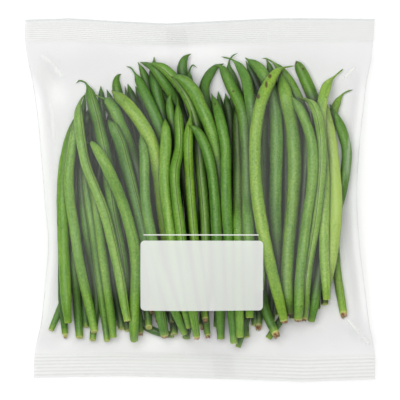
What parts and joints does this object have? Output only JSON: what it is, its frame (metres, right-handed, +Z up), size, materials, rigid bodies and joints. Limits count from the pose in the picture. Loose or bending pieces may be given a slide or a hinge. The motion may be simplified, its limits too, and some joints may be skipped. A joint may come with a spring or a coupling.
{
  "type": "green bean bundle",
  "caption": "Bundle of fresh fine green beans lying side by side in a clear film pillow bag with crimped ends, resting on its back.",
  "frame": {"origin": "middle of the bounding box on the table under the bag", "axes": "+X across the bag, +Y along it from the stem ends to the tails, +Z up from the table"},
  "size_m": [0.202, 0.2098, 0.0412],
  "materials": {
    "bean_skin": "satin skin of a fresh pod, standing in for plant matter",
    "clear_film": "glossy clear packaging film, a little milky"
  },
  "bodies": {
    "root": {"bean_01": "bean_skin", "bean_02": "bean_skin", "bean_03": "bean_skin", "bean_04": "bean_skin", "bean_05": "bean_skin", "bean_06": "bean_skin", "bean_07": "bean_skin", "bean_08": "bean_skin", "bean_09": "bean_skin", "bean_10": "bean_skin", "bean_11": "bean_skin", "bean_12": "bean_skin", "bean_13": "bean_skin", "bean_14": "bean_skin", "bean_15": "bean_skin", "bean_16": "bean_skin", "bean_17": "bean_skin", "bean_18": "bean_skin", "bean_19": "bean_skin", "bean_20": "bean_skin", "bean_21": "bean_skin", "bean_22": "bean_skin", "bean_23": "bean_skin", "bean_24": "bean_skin", "bean_25": "bean_skin", "bean_26": "bean_skin", "bean_27": "bean_skin", "bean_28": "bean_skin", "bean_29": "bean_skin", "bean_30": "bean_skin", "bean_31": "bean_skin", "bean_32": "bean_skin", "bean_33": "bean_skin", "bean_34": "bean_skin", "bean_35": "bean_skin", "bean_36": "bean_skin", "bean_37": "bean_skin", "bean_38": "bean_skin", "bean_39": "bean_skin", "bean_40": "bean_skin", "bean_41": "bean_skin", "bean_42": "bean_skin", "bean_43": "bean_skin", "bean_44": "bean_skin", "bean_45": "bean_skin", "bean_46": "bean_skin", "bean_47": "bean_skin", "bean_48": "bean_skin", "bean_49": "bean_skin", "bean_50": "bean_skin", "bean_51": "bean_skin", "bean_52": "bean_skin", "bean_53": "bean_skin", "bean_54": "bean_skin", "bean_55": "bean_skin", "bean_56": "bean_skin", "bean_57": "bean_skin", "bean_58": "bean_skin", "bean_59": "bean_skin", "film_bag": "clear_film"}
  },
  "joints": []
}
